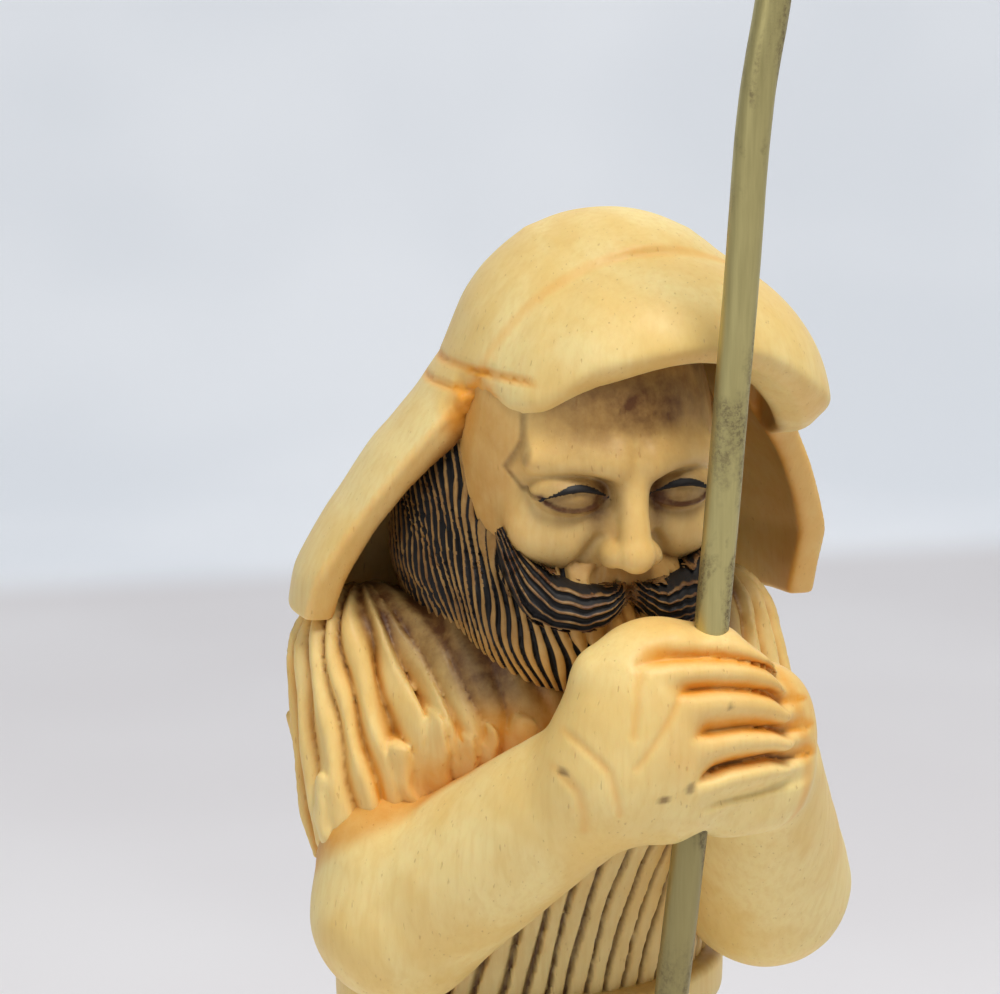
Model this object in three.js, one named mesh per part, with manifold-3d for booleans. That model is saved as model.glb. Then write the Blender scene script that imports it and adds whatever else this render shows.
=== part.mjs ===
// A carved wooden nativity figure: a bearded shepherd under a thick head-cloth, who holds a
// metal staff in both hands and stands on a low oval plinth. The figure and its plinth are
// one block of wood, and the staff is a bent rod that passes through the hands.
// Millimetres, +Z up. The figure faces -Y, and its left side is +X. The origin is at the
// middle of the plinth's underside.

import * as THREE from "three";
import { mergeVertices } from "three/addons/utils/BufferGeometryUtils.js";
import Module from "manifold-3d";

const wasm = await Module();
wasm.setup();

// Driving sizes
const figureHeight = 154; // from the plinth's top to the crown of the hood
const plinthHeight = 7;
const plinthSideRim = 6.5; // how far the plinth stands out past the hem, at each side
const plinthEndRim = 11.5; // the same at the front and at the back
const plinthBevel = 1;
const hoodThickness = 4.2;
const brimThickness = 5.5;
const fluteDepth = 0.8; // the gouged grooves of the tunic
const fluteCount = 50;
const foldDepth = 2; // the folds of the skirt, at the hem
const foldCount = 15;
const strokeDepth = 0.55; // the cuts of hair and beard
const beardCuts = 20; // all round
const hairCuts = 24;
const beltHeight = 5;
const beltProud = 1.3; // how far the belt stands out past the waist
const staffDiameter = 3.3;
const staffClearance = 0.3; // all round the staff, in the hands and in the plinth
const socketDepth = 3; // the hole in the plinth for the staff's foot
const neckRise = 12; // from the bend in the staff to where the crook starts
const crookRadius = 7.5;
const crookTurn = 215; // degrees

// The carving is laid out in units above the plinth's top, 154 to the figure's height
const unit = figureHeight / 154;
const at = (x, y, z) => new THREE.Vector3(x * unit, y * unit, plinthHeight + z * unit);
const turn = 2 * Math.PI;
const radians = THREE.MathUtils.degToRad;

// A smooth curve through [place, value] pairs, flat past its ends
function along(pairs, place) {
  const last = pairs.length - 1;
  if (place <= pairs[0][0]) return pairs[0][1];
  if (place >= pairs[last][0]) return pairs[last][1];
  const i = pairs.findIndex((pair, n) => n < last && place < pairs[n + 1][0]);
  const slope = (n) => {
    if (n < 1 || n >= last) return 0;
    const before = (pairs[n][1] - pairs[n - 1][1]) / (pairs[n][0] - pairs[n - 1][0]);
    const after = (pairs[n + 1][1] - pairs[n][1]) / (pairs[n + 1][0] - pairs[n][0]);
    return before * after > 0 ? (2 * before * after) / (before + after) : 0;
  };
  const step = pairs[i + 1][0] - pairs[i][0];
  const t = (place - pairs[i][0]) / step;
  const hermite = (2 * t ** 3 - 3 * t ** 2 + 1) * pairs[i][1] + (3 * t ** 2 - 2 * t ** 3) * pairs[i + 1][1];
  return hermite + step * ((t ** 3 - 2 * t ** 2 + t) * slope(i) + (t ** 3 - t ** 2) * slope(i + 1));
}

// Solids and what joins them

function solid(geometry) {
  const bare = new THREE.BufferGeometry();
  bare.setAttribute("position", geometry.getAttribute("position"));
  bare.setIndex(geometry.index);
  const merged = mergeVertices(bare, 1e-4);
  const vertProperties = merged.attributes.position.array;
  const triVerts = new Uint32Array(merged.index.array);
  return new wasm.Manifold(new wasm.Mesh({ numProp: 3, vertProperties, triVerts }));
}

const join = (...solids) => solids.flat().reduce((all, next) => all.add(next));

// The outer skin alone, so that hollows shut in between carved forms are filled
const filled = (manifold) => manifold.decompose().reduce((a, b) => (b.volume() > a.volume() ? b : a));

function geometryOf(manifold) {
  const mesh = manifold.getMesh();
  const geometry = new THREE.BufferGeometry();
  geometry.setAttribute("position", new THREE.BufferAttribute(mesh.vertProperties, mesh.numProp));
  geometry.setIndex(new THREE.BufferAttribute(mesh.triVerts, 1));
  geometry.computeVertexNormals();
  return geometry;
}

// A closed skin over rings of points. The rings run anticlockwise about the way they go.
function skin(rings, foot, crown) {
  const sides = rings[0].length;
  const points = [...rings.flat(), foot, crown];
  const faces = [];
  for (let j = 0; j < sides; j++) {
    const k = (j + 1) % sides;
    faces.push(points.length - 2, k, j);
    for (let i = 0; i < rings.length - 1; i++) {
      const low = i * sides;
      const high = low + sides;
      faces.push(low + j, low + k, high + k, low + j, high + k, high + j);
    }
    const top = (rings.length - 1) * sides;
    faces.push(points.length - 1, top + j, top + k);
  }
  const geometry = new THREE.BufferGeometry().setFromPoints(points);
  geometry.setIndex(faces);
  return solid(geometry);
}

// An upright form: stations are [z, half width, half depth, middle x, middle y]. The angle
// starts at the front and goes towards +X. relief(j, angle, z) moves point j of a ring outwards.
function upright(stations, sides, relief = () => 0, levels = stations.map((s) => s[0])) {
  const value = (n, z) => along(stations.map((s) => [s[0], s[n]]), z);
  const middle = (z) => at(value(3, z), value(4, z), z);
  const ring = (z) =>
    Array.from({ length: sides }, (_, j) => {
      const angle = (j * turn) / sides;
      const out = relief(j, angle, z) / unit;
      const x = value(3, z) + (value(1, z) + out) * Math.sin(angle);
      const y = value(4, z) - (value(2, z) + out) * Math.cos(angle);
      return at(x, y, z);
    });
  return skin(levels.map(ring), middle(levels[0]), middle(levels.at(-1)));
}

// A round-ended limb through stops of [x, y, z, radius]. relief(j) moves its side j outwards.
function limb(stops, sides = 12, steps = 6, relief = () => 0, place = at) {
  const path = new THREE.CatmullRomCurve3(stops.map(([x, y, z]) => place(x, y, z)));
  const { tangents, normals, binormals } = path.computeFrenetFrames(steps);
  const radiusAt = (t) => along(stops.map((s, i) => [i / (stops.length - 1), s[3]]), t) * unit;
  const rings = [];
  const ring = (i, lift) => {
    const t = i / steps;
    const centre = path.getPoint(t).addScaledVector(tangents[i], radiusAt(t) * Math.sin(lift));
    rings.push(
      Array.from({ length: sides }, (_, j) => {
        const angle = (j * turn) / sides;
        const radius = (radiusAt(t) + relief(j)) * Math.cos(lift);
        return centre
          .clone()
          .addScaledVector(normals[i], radius * Math.cos(angle))
          .addScaledVector(binormals[i], radius * Math.sin(angle));
      }),
    );
  };
  const lifts = sides > 12 ? [30, 60] : [45];
  lifts.toReversed().forEach((lift) => ring(0, -radians(lift)));
  for (let i = 0; i <= steps; i++) ring(i, 0);
  lifts.forEach((lift) => ring(steps, radians(lift)));
  const end = (i) => {
    const past = (i ? 1 : -1) * radiusAt(i / steps);
    return path.getPoint(i / steps).addScaledVector(tangents[i], past);
  };
  return skin(rings, end(0), end(steps));
}

// A ball stretched to three half sizes, tilted to one side by degrees
function ball([x, y, z], [across, deep, high], sides = 16, tilt = 0, place = at) {
  const geometry = new THREE.SphereGeometry(unit, sides, Math.round(sides * 0.6));
  geometry.rotateX(Math.PI / 2).scale(across, deep, high).rotateY(radians(tilt));
  const centre = place(x, y, z);
  return solid(geometry.translate(centre.x, centre.y, centre.z));
}

// All that lies under a plane through a point, once the plane is tipped about X and then about Y
function under([x, y, z], aboutX, aboutY = 0) {
  const size = 3 * figureHeight;
  const geometry = new THREE.BoxGeometry(size, size, size).translate(0, 0, -size / 2);
  geometry.rotateX(aboutX).rotateY(aboutY);
  const point = at(x, y, z);
  return solid(geometry.translate(point.x, point.y, point.z));
}

// The plinth, an oval slab with a bevelled edge
const hem = { halfWidth: 25, halfDepth: 22.5 };
const plinthHalfWidth = hem.halfWidth * unit + plinthSideRim;
const plinthHalfDepth = hem.halfDepth * unit + plinthEndRim;

function plinth() {
  const oval = new THREE.Shape();
  oval.absellipse(0, 0, plinthHalfWidth, plinthHalfDepth, 0, turn);
  const geometry = new THREE.ExtrudeGeometry(oval, {
    depth: plinthHeight - 2 * plinthBevel,
    curveSegments: 18,
    bevelSize: plinthBevel,
    bevelThickness: plinthBevel,
    bevelOffset: -plinthBevel,
    bevelSegments: 1,
  });
  return solid(geometry.translate(0, 0, plinthBevel));
}

// The tunic: a skirt in soft folds, a belt, and a body cut all round with upright grooves
const sunk = -1.5; // the hem goes this far into the plinth, so that the two are one piece
const skirtStations = [
  [sunk, hem.halfWidth, hem.halfDepth, 0, 0],
  [10, 24.4, 21.7, 0, 0],
  [40, 22, 19, 0, 0],
  [74, 19.9, 16.1, 0, 0],
];
const bodyStations = [
  [69, 19.2, 15.5, 0, 0],
  [79, 19.4, 15.7, 0, 0],
  [90, 19.6, 16.6, 0, -1.5],
  [99, 20.2, 17.8, 0, -3.5],
];
const beltMiddle = 72;
const waist = { halfWidth: 19.8, halfDepth: 16 };

// Half of the points of a grooved ring stand on the ridges, and half lie in the grooves
const fluted = (j) => (j % 2 ? -fluteDepth : 0);
const stroked = (j) => (j % 2 ? -strokeDepth : 0);

function skirt() {
  const fold = (angle, z) =>
    (0.5 - 0.5 * Math.cos(foldCount * angle)) * foldDepth * THREE.MathUtils.smoothstep(70 - z, 0, 55);
  return upright(skirtStations, foldCount * 4, (j, angle, z) => -fold(angle, z));
}

const body = () => upright(bodyStations, fluteCount * 2, fluted, [69, 84, 99]);

// Chest, shoulders and the short sleeves as one grooved mass, cut off slantwise below.
// Each shoulder is [x, y, z, radius] above and below.
// The trunk's stations are [z, half width, half depth, middle y].
const chestStations = [
  [76, 19.8, 16, -1],
  [90, 20, 17.2, -3],
  [99, 20.8, 18.6, -4],
  [106, 20.6, 18, -4],
  [112, 17.5, 14, -4.5],
];
const shoulders = [
  { top: [-18.5, -1, 108, 8.7], elbow: [-18.4, -7.5, 84, 9.6] },
  { top: [18.6, -2.5, 107, 8.3], elbow: [19.2, -13, 83, 8.8] },
];
const sleeveSlope = 0.8; // the lower edge rises this much for each unit forwards
const sleeveEdge = 85; // and crosses the middle of the figure at this height
const crowding = 0.13; // draws the grooves together over the shoulders, in radians

function chest() {
  const middleY = (z) => along(chestStations.map((s) => [s[0], s[3]]), z);
  const sleeveReach = ({ top, elbow }, z, sin, cos) => {
    const t = Math.min(1, (top[2] - z) / (top[2] - elbow[2]));
    const dome = t < 0 ? Math.sqrt(Math.max(0, 1 - ((z - top[2]) / top[3]) ** 2)) : 1;
    const [x, y, , radius] = top.map((value, i) => value + Math.max(0, t) * (elbow[i] - value));
    const depth = y - middleY(z);
    const forward = x * sin - depth * cos;
    const left = forward ** 2 - x ** 2 - depth ** 2 + (radius * dome) ** 2;
    return left > 0 && forward > 0 ? forward + Math.sqrt(left) : 0;
  };
  const ring = (z) => {
    const width = along(chestStations.map((s) => [s[0], s[1]]), z);
    const depth = along(chestStations.map((s) => [s[0], s[2]]), z);
    return Array.from({ length: fluteCount * 2 }, (_, j) => {
      const even = (j * turn) / (fluteCount * 2);
      const angle = even + crowding * Math.sin(2 * even);
      const [sin, cos] = [Math.sin(angle), Math.cos(angle)];
      const trunk = (width * depth) / Math.hypot(depth * sin, width * cos);
      const reach = Math.max(trunk, ...shoulders.map((arm) => sleeveReach(arm, z, sin, cos)));
      const out = reach + fluted(j) / unit;
      return at(out * sin, middleY(z) - out * cos, z);
    });
  };
  const levels = [76, 87, 98, 107, 113.5];
  const whole = skin(levels.map(ring), at(0, -1, 76), at(0, -4.5, 116.5));
  return whole.subtract(under([0, 0, sleeveEdge], -Math.atan(sleeveSlope)));
}

function belt() {
  const half = beltHeight / 2 / unit;
  const proud = beltProud / unit;
  const band = (z, out) => [z, waist.halfWidth + out, waist.halfDepth + out, 0, 0];
  const stations = [
    band(beltMiddle - half, 0),
    band(beltMiddle - half * 0.7, proud),
    band(beltMiddle + half * 0.7, proud),
    band(beltMiddle + half, 0),
  ];
  const knotOut = -waist.halfDepth - proud;
  const knot = ball([5, knotOut + 1.2, beltMiddle], [2.5, 2.2, 2.4], 8);
  const end = (x) => {
    const stops = [
      [5, knotOut + 0.6, beltMiddle - 1, 1.3],
      [x, knotOut - 1, beltMiddle - 13, 1.5],
    ];
    return limb(stops, 6, 1);
  };
  return join(upright(stations, 20), knot, end(3.5), end(7.5));
}

// The toes that show under the hem
const toes = () => [-1, 1].map((side) => ball([side * 8.5 + 1.5, -21.5, 0.5], [4.6, 5.8, 4], 10));

// The smooth forearms, each from the elbow to the wrist
const forearms = [
  [[-18.6, -9, 84, 8.9], [-6.5, -29, 102, 6.5]],
  [[19.8, -14, 82.6, 8.4], [10.2, -27.5, 99.8, 6.3]],
];
const forearm = (stops) => limb(stops, 14, 2);

// The hands: two clasped fists, with one row of fingers wrapped round the staff. Each finger
// has its heights at the knuckle, at the middle and at the tip.
const fingers = [
  { from: -5.5, to: 7.6, heights: [117, 115.8, 113.4], radius: 1.8 },
  { from: -5, to: 8.8, heights: [113.6, 113.2, 111.2], radius: 1.8 },
  { from: -3.6, to: 9.6, heights: [110, 109.9, 108.3], radius: 2.1 },
  { from: -2.8, to: 9.8, heights: [105.5, 106.2, 105.4], radius: 2 },
  { from: -2, to: 9.6, heights: [101.4, 102.3, 102.6], radius: 1.9 },
];

function hands() {
  const near = ball([-4.9, -31.3, 108], [7.6, 6.5, 10.4], 12, 10);
  const far = ball([7.3, -31.4, 103.7], [8.1, 5.2, 8.5], 12);
  const palm = ball([2.4, -32.4, 108], [8.6, 4.6, 8.6], 10);
  const finger = ({ from, to, heights: [knuckle, middle, tip], radius }) => {
    const stops = [
      [from, -34.4, knuckle, radius],
      [(from + to) / 2, -36.4, middle, radius],
      [to, -34.6, tip, radius * 0.85],
    ];
    return limb(stops, 7, 2);
  };
  return join(near, far, palm, fingers.map(finger));
}

// The head, laid out in its own frame: +X to the figure's left, -Y out of the face
const head = new THREE.Matrix4()
  .makeTranslation(...at(-1.4, -14, 131.6))
  .multiply(new THREE.Matrix4().makeRotationZ(radians(-7)))
  .multiply(new THREE.Matrix4().makeRotationX(radians(12)));
const inHead = (manifold) => manifold.transform(head.elements);
const centred = (x, y, z) => new THREE.Vector3(x, y, z).multiplyScalar(unit);
const both = (make) => [-1, 1].map(make);

function face() {
  const skull = ball([0, 0, 0], [12.4, 15, 19.2], 16, 0, centred);
  const socket = (side) => ball([side * 5.4, -15.4, 0.2], [3.7, 3.4, 2.3], 10, side * -6, centred);
  const eye = (side) => ball([side * 5.4, -11.8, 0], [3.1, 2.4, 1.6], 10, side * -6, centred);
  const wing = (side) => ball([side * 1.9, -16.2, -5.6], [1.3, 1.8, 1.3], 6, 0, centred);
  const noseStops = [
    [0, -14.2, 2.6, 1.4],
    [0, -16, -1.2, 1.5],
    [0, -17.6, -5, 1.8],
  ];
  const nose = limb(noseStops, 8, 2, () => 0, centred);
  const lip = ball([0, -14.6, -11.4], [3.4, 2, 1.1], 8, 0, centred);
  const hollow = join(both(socket));
  return join(skull.subtract(hollow), both(eye), both(wing), nose, lip);
}

function beard() {
  const [across, deep, high] = [13, 11.8, 10.5];
  const levels = [-0.95, -0.7, -0.2, 0.35, 0.8];
  const rings = levels.map((level) =>
    Array.from({ length: beardCuts * 2 }, (_, j) => {
      const angle = (j * turn) / (beardCuts * 2);
      const share = Math.sqrt(1 - level ** 2);
      const out = stroked(j) / unit;
      const x = (across * share + out) * Math.sin(angle);
      const y = -5 - (deep * share + out) * Math.cos(angle);
      return centred(x, y, -13.5 + high * level);
    }),
  );
  return skin(rings, centred(0, -5, -24), centred(0, -5, -3));
}

function moustache(side) {
  const stops = [
    [side * 1, -15.8, -8.4, 1.6],
    [side * 4.6, -15, -10.4, 2.6],
    [side * 8.4, -12.4, -9, 2.4],
    [side * 10.8, -9.6, -4.6, 1.2],
  ];
  return limb(stops, 12, 3, stroked, centred);
}

const wholeHead = () => inHead(join(face(), beard(), both(moustache)));

// The hair that fills the hood at both sides of the face
const hairStations = [
  [105, 11, 12, 0.5, -5],
  [112, 14.8, 16, 0.5, -5],
  [120, 17.4, 17, 0.5, -5],
  [128, 17, 16, 0.5, -5],
  [136, 13.5, 12, 0.5, -9],
  [143, 9, 8, 0.5, -11],
];
const hair = () => upright(hairStations, hairCuts * 2, stroked, [105, 113, 122, 132, 143]);

// The head-cloth: a bell over head and shoulders, hollowed behind the face, open at the front
const hoodMiddle = 2.4;
const hoodStations = [
  [108, 29.6, 22.5, hoodMiddle + 0.3, -2],
  [117.4, 29.1, 21.8, hoodMiddle + 0.4, -4],
  [124, 26.2, 20.8, hoodMiddle + 0.3, -6],
  [129.8, 22.6, 20, hoodMiddle, -8],
  [137, 17.6, 18.6, hoodMiddle, -11],
  [141, 15.6, 17, hoodMiddle, -12],
  [145, 13.4, 14.8, hoodMiddle, -12],
  [148, 11, 12.4, hoodMiddle, -12],
  [151, 8, 8.8, hoodMiddle, -12],
  [153, 4.6, 5, hoodMiddle, -12],
  [154, 0.8, 0.9, hoodMiddle, -12],
];
const flapEdge = { y: -15.2, z: 137, lean: 0.46 }; // the front edges lean back as they fall
const hollowBack = 6; // behind this the hood is solid

const hoodHem = { z: 112, fall: 0.06 }; // the hem drops this much for each unit to the left side

function shell() {
  const wall = hoodThickness / unit;
  const drop = (z) => (z > 129 ? wall * 0.9 : 2);
  const inset = ([z, width, depth, x, y]) => [z - drop(z), width - wall, depth - wall, x, y];
  const inner = upright(hoodStations.slice(0, -3).map(inset), 20);
  const hollow = inner.subtract(under([0, hollowBack, 130], Math.PI / 2));
  const ahead = under([0, flapEdge.y, flapEdge.z], Math.atan(flapEdge.lean) - Math.PI / 2);
  const beneath = under([0, 0, hoodHem.z], 0, Math.atan(hoodHem.fall));
  return upright(hoodStations, 30).subtract(hollow).subtract(ahead).subtract(beneath);
}

// The brim over the forehead, by angle from the front: its lower edge, and its reach there
const brimStations = [
  { angle: -88, edge: 134.6, reach: 16 },
  { angle: -65, edge: 134.6, reach: 17.2 },
  { angle: -50, edge: 135.4, reach: 18.2 },
  { angle: -30, edge: 139.2, reach: 18.6 },
  { angle: 0, edge: 141.3, reach: 18.7 },
  { angle: 20, edge: 140.3, reach: 19.4 },
  { angle: 45, edge: 135.8, reach: 21 },
  { angle: 60, edge: 133, reach: 21.6 },
  { angle: 88, edge: 130.4, reach: 22.3 },
];

function brim() {
  const top = 151.5;
  const behind = -13;
  const section = (degrees) => {
    const low = along(brimStations.map(({ angle, edge }) => [angle, edge]), degrees);
    const reach = along(brimStations.map(({ angle, reach }) => [angle, reach]), degrees);
    const outer = [0, 0.3, 0.55, 0.76, 0.92].map((rise) => [reach * Math.sqrt(1 - rise ** 2.2), rise]);
    const inner = [[reach * 0.2, 0.86], [reach - brimThickness / unit, 0]];
    return [...outer, ...inner].map(([out, rise]) => {
      const angle = radians(degrees);
      return at(hoodMiddle + out * Math.sin(angle), behind - out * Math.cos(angle), low + rise * (top - low));
    });
  };
  const rings = [];
  for (let degrees = -88; degrees <= 88; degrees += 11) rings.push(section(degrees).reverse());
  const total = (ring) => ring.reduce((sum, point) => sum.add(point), new THREE.Vector3());
  const middleOf = (ring) => total(ring).divideScalar(ring.length);
  return skin(rings, middleOf(rings[0]), middleOf(rings.at(-1)));
}

// The staff: a bent rod from the plinth, through the hands, up to a crook
function staffPath(foot) {
  const standing = at(-7.6, 0, 0).setY(-hem.halfDepth * unit - plinthEndRim / 2).setZ(foot);
  const bend = at(4.9, -36.5, 166);
  const start = bend.clone().add(new THREE.Vector3(0.13, -0.04, 1).multiplyScalar(neckRise));
  const low = [at(-0.3, -32.2, 81), at(1.8, -33.6, 107)];
  const high = [at(2.8, -34.3, 123), at(4.1, -35.5, 148)];
  const points = [standing, ...low, ...high, bend, start];
  for (let angle = 24; angle <= crookTurn; angle += 24) {
    const a = radians(angle);
    const way = new THREE.Vector3(Math.cos(a) - 1, 0, Math.sin(a));
    points.push(start.clone().addScaledVector(way, crookRadius));
  }
  return new THREE.CatmullRomCurve3(points, false, "centripetal");
}

function rod(path, radius) {
  const round = new THREE.Shape().absarc(0, 0, radius, 0, turn);
  return solid(new THREE.ExtrudeGeometry(round, { extrudePath: path, steps: 34, curveSegments: 5 }));
}

const socketFloor = plinthHeight - socketDepth;
const staff = rod(staffPath(socketFloor + staffClearance), staffDiameter / 2);
const staffHole = rod(staffPath(socketFloor), staffDiameter / 2 + staffClearance);

// The carved block, with the staff's way cut through it
const block = join(
  plinth(), skirt(), body(), chest(), belt(), toes(), forearms.map(forearm),
  hands(), wholeHead(), hair(), shell(), brim(),
);
const figure = filled(block.subtract(staffHole));

const wood = new THREE.MeshStandardMaterial({ color: 0xe6cd92, roughness: 0.5, metalness: 0 });
const metal = new THREE.MeshStandardMaterial({ color: 0x958c5c, roughness: 0.42, metalness: 0.9 });

function piece(name, manifold, material) {
  const mesh = new THREE.Mesh(geometryOf(manifold), material);
  mesh.name = name;
  return mesh;
}

const nativityFigure = new THREE.Group();
nativityFigure.add(piece("figure", figure, wood), piece("staff", staff, metal));
export default nativityFigure;
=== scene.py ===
import math

import bpy
import numpy as np
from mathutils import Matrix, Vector


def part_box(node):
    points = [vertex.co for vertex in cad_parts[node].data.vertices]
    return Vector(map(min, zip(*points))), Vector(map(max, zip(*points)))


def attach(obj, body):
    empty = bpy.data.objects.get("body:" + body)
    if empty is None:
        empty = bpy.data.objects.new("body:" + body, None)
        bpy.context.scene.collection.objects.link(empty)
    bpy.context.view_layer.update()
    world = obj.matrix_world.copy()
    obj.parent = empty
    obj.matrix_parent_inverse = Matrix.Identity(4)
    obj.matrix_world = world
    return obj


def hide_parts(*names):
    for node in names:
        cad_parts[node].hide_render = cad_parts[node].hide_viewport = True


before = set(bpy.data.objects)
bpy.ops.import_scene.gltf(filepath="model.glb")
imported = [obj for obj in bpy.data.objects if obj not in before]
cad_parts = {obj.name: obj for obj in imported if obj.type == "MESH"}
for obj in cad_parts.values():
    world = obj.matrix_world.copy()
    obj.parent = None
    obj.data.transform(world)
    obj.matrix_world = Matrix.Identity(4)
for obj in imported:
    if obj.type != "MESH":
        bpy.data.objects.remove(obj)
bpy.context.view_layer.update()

# The camera looks slightly down at the figure's right front, and frames it from the waist up.
# It stands level, with no shift and no depth of field.
mm = 0.001
view_azimuth = math.radians(-25)
view_elevation = math.radians(12)
view_distance = 330 * mm
view_target = Vector((-2.97, 1.39, 130)) * mm
towards_camera = Vector((
    math.sin(view_azimuth) * math.cos(view_elevation),
    -math.cos(view_azimuth) * math.cos(view_elevation),
    math.sin(view_elevation),
))
camera = bpy.data.objects.new("camera", bpy.data.cameras.new("camera"))
bpy.context.scene.collection.objects.link(camera)
camera.location = view_target + view_distance * towards_camera
camera.rotation_euler = towards_camera.to_track_quat("Z", "Y").to_euler()
camera.data.sensor_width = 36
camera.data.lens = 115.83
camera.data.clip_start = 10 * mm
camera.data.clip_end = 20
bpy.context.scene.camera = camera
bpy.context.scene.view_settings.view_transform = "Standard"


# The floor is pale paper that sweeps up into a plain backdrop half a metre behind the figure.
# Its turn is wide. The paper is painted darker on the floor and lighter and bluer up the
# backdrop, as painted light, so the horizon is a soft change of tone; it also glows a little.
class Value:
    """A socket that Python's operators work on: each one adds a Math node."""

    def __init__(self, maker, socket):
        self.maker = maker
        self.socket = socket

    def _math(self, operation, first, second, third=0.0):
        inputs = {0: first, 1: second, 2: third}
        return self.maker.node("ShaderNodeMath", {"operation": operation}, inputs)

    def __add__(self, other):
        return self._math("ADD", self, other)

    def __radd__(self, other):
        return self._math("ADD", other, self)

    def __sub__(self, other):
        return self._math("SUBTRACT", self, other)

    def __rsub__(self, other):
        return self._math("SUBTRACT", other, self)

    def __mul__(self, other):
        return self._math("MULTIPLY", self, other)

    def __rmul__(self, other):
        return self._math("MULTIPLY", other, self)

    def fraction(self):
        return self._math("FRACT", self, 0.0)

    def size(self):
        return self._math("ABSOLUTE", self, 0.0)

    def rise(self, low, high):
        """0 below low and 1 above high, with a smooth rise between them."""
        settings = {"interpolation_type": "SMOOTHSTEP"}
        inputs = {"Value": self, "From Min": low, "From Max": high}
        return self.maker.node("ShaderNodeMapRange", settings, inputs)


class Finish:
    """A material in the making, with one method that adds any node."""

    def __init__(self, name):
        self.material = bpy.data.materials.new(name)
        self.material.use_nodes = True
        self.tree = self.material.node_tree
        self.shader = self.tree.nodes["Principled BSDF"]

    def connect(self, socket, value):
        if isinstance(value, Value):
            self.tree.links.new(value.socket, socket)
        else:
            socket.default_value = value

    def node(self, kind, settings, inputs, output=0):
        made = self.tree.nodes.new(kind)
        for name, value in settings.items():
            setattr(made, name, value)
        for name, value in inputs.items():
            self.connect(made.inputs[name], value)
        return Value(self, made.outputs[output])

    def set(self, **inputs):
        for name, value in inputs.items():
            self.connect(self.shader.inputs[name.replace("_", " ")], value)
        return self.material

    def places(self, scale=(1, 1, 1)):
        """Places on the object in millimetres, stretched along each axis by scale."""
        found = self.node("ShaderNodeTexCoord", {}, {}, "Object")
        return self.node("ShaderNodeVectorMath", {"operation": "MULTIPLY"}, {0: found, 1: Vector(scale) / mm})

    def noise(self, places, scale, detail=3.0, roughness=0.5, distortion=0.0):
        inputs = {"Vector": places, "Scale": scale, "Detail": detail, "Roughness": roughness}
        return self.node("ShaderNodeTexNoise", {}, inputs | {"Distortion": distortion}, "Fac")

    def mix(self, share, first, second):
        settings = {"data_type": "RGBA", "clamp_factor": True}
        return self.node("ShaderNodeMix", settings, {0: share, 6: first, 7: second}, 2)

    def bump(self, height, distance, strength=1.0):
        return self.node("ShaderNodeBump", {}, {"Height": height, "Distance": distance, "Strength": strength})

    def attribute(self, name):
        return self.node("ShaderNodeAttribute", {"attribute_name": name}, {}, "Fac")


def colour(red, green, blue):
    """A colour given as it looks on a screen, 0 to 255, turned to linear light."""
    shares = [value / 255 for value in (red, green, blue)]
    return (*[s / 12.92 if s < 0.04045 else ((s + 0.055) / 1.055) ** 2.4 for s in shares], 1)


def put(name, points, faces):
    """A mesh object from points in metres and lists of point numbers."""
    mesh = bpy.data.meshes.new(name)
    mesh.from_pydata(points, [], faces)
    made = bpy.data.objects.new(name, mesh)
    bpy.context.scene.collection.objects.link(made)
    return made


floor_half_width = 1500 * mm
floor_front = 900 * mm
floor_end = 526
floor_end_slant = 0.19
sweep_start = 600 * mm
sweep_radius = 260 * mm
backdrop_height = 1600 * mm
profile = [(-floor_front, 0.0)]
for step in range(25):
    turn = math.radians(90 * step / 24)
    profile.append((sweep_start + sweep_radius * math.sin(turn), sweep_radius * (1 - math.cos(turn))))
profile.append((sweep_start + sweep_radius, backdrop_height))
away = Vector((-math.sin(view_azimuth), math.cos(view_azimuth), 0))
aside = Vector((math.cos(view_azimuth), math.sin(view_azimuth), 0))
sweep_points = []
for back, up in profile:
    for side in (-floor_half_width, floor_half_width):
        sweep_points.append(back * away + side * aside + Vector((0, 0, up)))
sweep_faces = [(2 * i, 2 * i + 1, 2 * i + 3, 2 * i + 2) for i in range(len(profile) - 1)]
floor = put("floor", sweep_points, sweep_faces)
floor.data.shade_smooth()
paper = Finish("pale_paper")
back = paper.node(
    "ShaderNodeVectorMath",
    {"operation": "DOT_PRODUCT"},
    {0: paper.places(), 1: away - floor_end_slant * aside},
    "Value",
)
# cloud: large soft blotches of painted shade, standing for gentle folds in the paper.
cloud = paper.noise(paper.places(), 0.006, 2.0).rise(0.35, 0.65)
# Painted light: the floor is painted darker and warmer and the backdrop lighter and bluer, on one sheet of
# paper.
near_tone = paper.mix(cloud, colour(217, 214, 215), colour(223, 221, 222))
far_tone = paper.mix(cloud, colour(231, 235, 240), colour(240, 243, 247))
paper_tone = paper.mix(back.rise(floor_end - 25, floor_end + 20), near_tone, far_tone)
# The emission is painted light: the paper glows a little of itself, to even out its brightness.
paper.set(Base_Color=paper_tone, Roughness=0.85, Emission_Color=paper_tone, Emission_Strength=0.22)
floor.data.materials.append(paper.material)


# The light is a large soft lamp above the camera, a weaker one from the figure's right, and
# an even pale sky.
def soft_lamp(name, place, size, power, tint):
    lamp = bpy.data.objects.new(name, bpy.data.lights.new(name, "AREA"))
    bpy.context.scene.collection.objects.link(lamp)
    lamp.location = Vector(place) * mm
    lamp.rotation_euler = (lamp.location - view_target).to_track_quat("Z", "Y").to_euler()
    lamp.data.size = size * mm
    lamp.data.energy = power
    lamp.data.color = tint
    return lamp


soft_lamp("lamp_above", (40, -330, 800), 360, 5.2, (1.0, 0.985, 0.96))
soft_lamp("lamp_right", (-560, -260, 420), 420, 0.8, (0.97, 0.98, 1.0))
sky = bpy.data.worlds.new("sky")
sky.use_nodes = True
sky.node_tree.nodes["Background"].inputs["Color"].default_value = colour(228, 232, 240)
sky.node_tree.nodes["Background"].inputs["Strength"].default_value = 0.28
bpy.context.scene.world = sky


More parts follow.
